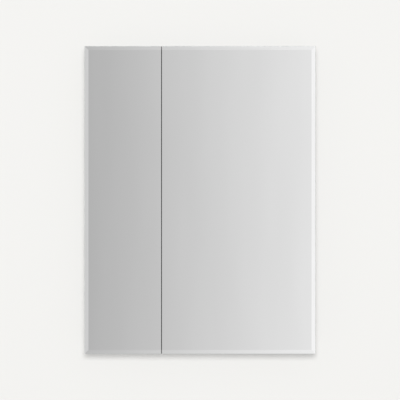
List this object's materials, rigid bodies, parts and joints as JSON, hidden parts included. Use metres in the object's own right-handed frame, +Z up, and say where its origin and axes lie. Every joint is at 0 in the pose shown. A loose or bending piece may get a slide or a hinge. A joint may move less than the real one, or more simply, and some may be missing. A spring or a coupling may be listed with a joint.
{
  "type": "medicine cabinet",
  "caption": "Surface-mounted bathroom cabinet with bevelled frameless mirror doors of unequal width on concealed hinges, and glass shelves inside a shallow aluminium body.",
  "frame": {"origin": "centre of the wall-hole pattern, on the back face", "axes": "+X right and +Z up as seen by a person in front; the mirrors face -Y and +Y goes into the wall"},
  "size_m": [0.762, 0.12, 1.016],
  "materials": {
    "body_aluminium": "satin anodised",
    "frame_aluminium": "satin anodised",
    "key_aluminium": "mill",
    "back_sheet": "hot-dip galvanised",
    "rivet": "plain",
    "mirror": "silvered glass",
    "shelf_glass": "clear, polished edges",
    "tape": "white foam",
    "spacer": "moulded",
    "clip": "nickel plated",
    "silicone": "clear silicone",
    "screw_steel": "zinc plated",
    "cup": "moulded grey",
    "magnet": "nickel plated",
    "cap": "moulded grey",
    "hinge_metal": "nickel plated zinc casting",
    "pin_steel": "ground",
    "washer": "natural nylon",
    "seal": "black extruded rubber"
  },
  "bodies": {
    "cabinet": {"back_panel": "back_sheet", "back_panel_rivets": "rivet", "bottom_panel": "body_aluminium", "catch_cups": "cup", "catch_magnets": "magnet", "clip_nuts": "screw_steel", "clip_screws": "screw_steel", "corner_keys": "key_aluminium", "door_bumpers": "silicone", "glass_shelf_1": "shelf_glass", "glass_shelf_2": "shelf_glass", "glass_shelf_3": "shelf_glass", "glass_shelf_4": "shelf_glass", "hinge_arm_screws": "screw_steel", "inner_mirror": "mirror", "inner_mirror_tape": "tape", "left_hinge_arm_bottom": "hinge_metal", "left_hinge_arm_middle": "hinge_metal", "left_hinge_arm_top": "hinge_metal", "right_hinge_arm_bottom": "hinge_metal", "right_hinge_arm_middle": "hinge_metal", "right_hinge_arm_top": "hinge_metal", "shelf_clips": "clip", "shelf_pads": "silicone", "side_panel_left": "body_aluminium", "side_panel_right": "body_aluminium", "top_panel": "body_aluminium", "wall_spacers": "spacer"},
    "left_door": {"left_back_mirror": "mirror", "left_bottom_rail": "frame_aluminium", "left_door_screws": "screw_steel", "left_edge_seal": "seal", "left_end_caps": "cap", "left_front_mirror": "mirror", "left_hinge_block_bottom": "hinge_metal", "left_hinge_block_middle": "hinge_metal", "left_hinge_block_top": "hinge_metal", "left_hinge_pins": "pin_steel", "left_hinge_stile": "frame_aluminium", "left_hinge_washers": "washer", "left_meeting_stile": "frame_aluminium", "left_mirror_tape": "tape", "left_strike_discs": "pin_steel", "left_top_rail": "frame_aluminium"},
    "right_door": {"right_back_mirror": "mirror", "right_bottom_rail": "frame_aluminium", "right_door_screws": "screw_steel", "right_edge_seal": "seal", "right_end_caps": "cap", "right_front_mirror": "mirror", "right_hinge_block_bottom": "hinge_metal", "right_hinge_block_middle": "hinge_metal", "right_hinge_block_top": "hinge_metal", "right_hinge_pins": "pin_steel", "right_hinge_stile": "frame_aluminium", "right_hinge_washers": "washer", "right_meeting_stile": "frame_aluminium", "right_mirror_tape": "tape", "right_strike_discs": "pin_steel", "right_top_rail": "frame_aluminium"}
  },
  "joints": [
    {"name": "left_door_hinge", "type": "hinge", "parent": "cabinet", "child": "left_door", "pos_m": [-0.373, -0.108, 0], "axis": [0, 0, -1], "range_deg": [0, 105]},
    {"name": "right_door_hinge", "type": "hinge", "parent": "cabinet", "child": "right_door", "pos_m": [0.373, -0.108, 0], "axis": [0, 0, 1], "range_deg": [0, 105]}
  ]
}
